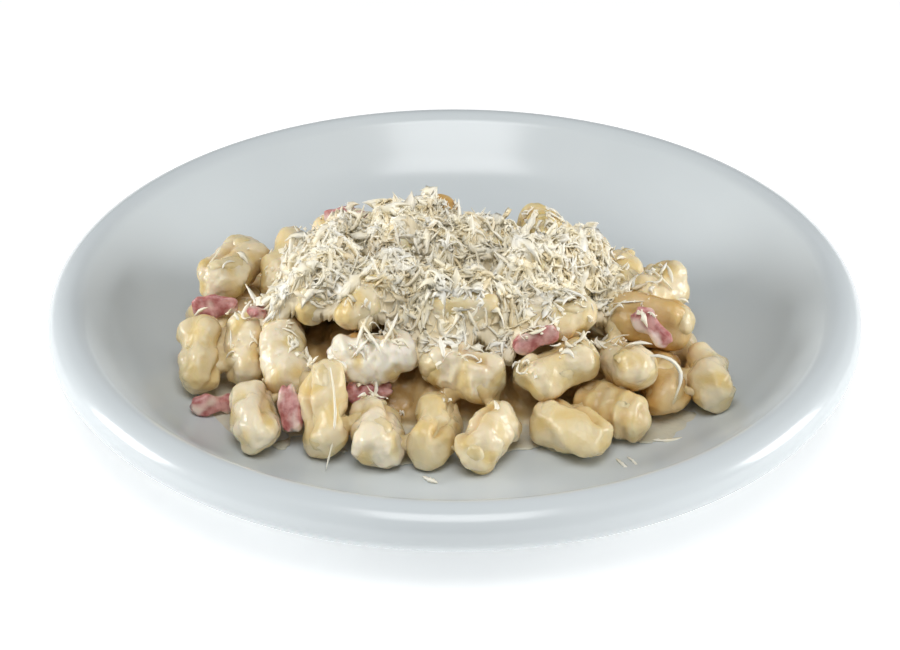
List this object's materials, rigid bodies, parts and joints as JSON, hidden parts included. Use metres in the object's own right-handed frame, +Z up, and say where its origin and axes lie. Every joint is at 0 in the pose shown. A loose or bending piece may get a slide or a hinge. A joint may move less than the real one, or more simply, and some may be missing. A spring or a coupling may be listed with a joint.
{
  "type": "plate of potato gnocchi",
  "caption": "Round coupe pasta plate with a rolled rim, holding a heap of potato gnocchi in cream sauce with ham strips and a mound of grated hard cheese.",
  "frame": {"origin": "centre of the circle that the foot ring stands on", "axes": "+Z up out of the plate, +X to the right and +Y away from the side that is shown"},
  "size_m": [0.2606, 0.2606, 0.054],
  "materials": {
    "porcelain": "glossy clear glaze over white porcelain",
    "potato_dough": "boiled potato dough, satin with a film of cream",
    "ham": "cooked ham, moist satin",
    "cream_sauce": "thick dairy cream, wet sheen",
    "hard_cheese": "finely grated hard cheese, dry and matt"
  },
  "bodies": {
    "root": {"plate": "porcelain", "gnocco_01": "potato_dough", "gnocco_02": "potato_dough", "gnocco_03": "potato_dough", "gnocco_04": "potato_dough", "gnocco_05": "potato_dough", "gnocco_06": "potato_dough", "gnocco_07": "potato_dough", "gnocco_08": "potato_dough", "gnocco_09": "potato_dough", "gnocco_10": "potato_dough", "gnocco_11": "potato_dough", "gnocco_12": "potato_dough", "gnocco_13": "potato_dough", "gnocco_14": "potato_dough", "gnocco_15": "potato_dough", "gnocco_16": "potato_dough", "gnocco_17": "potato_dough", "gnocco_18": "potato_dough", "gnocco_19": "potato_dough", "gnocco_20": "potato_dough", "gnocco_21": "potato_dough", "gnocco_22": "potato_dough", "gnocco_23": "potato_dough", "gnocco_24": "potato_dough", "gnocco_25": "potato_dough", "gnocco_26": "potato_dough", "gnocco_27": "potato_dough", "gnocco_28": "potato_dough", "gnocco_29": "potato_dough", "gnocco_30": "potato_dough", "gnocco_31": "potato_dough", "gnocco_32": "potato_dough", "gnocco_33": "potato_dough", "gnocco_34": "potato_dough", "gnocco_35": "potato_dough", "gnocco_36": "potato_dough", "gnocco_37": "potato_dough", "gnocco_38": "potato_dough", "gnocco_39": "potato_dough", "gnocco_40": "potato_dough", "gnocco_41": "potato_dough", "gnocco_42": "potato_dough", "gnocco_43": "potato_dough", "gnocco_44": "potato_dough", "gnocco_45": "potato_dough", "ham_01": "ham", "ham_02": "ham", "ham_03": "ham", "ham_04": "ham", "ham_05": "ham", "ham_06": "ham", "ham_07": "ham", "ham_08": "ham", "cream_sauce": "cream_sauce", "grated_cheese": "hard_cheese"}
  },
  "joints": []
}
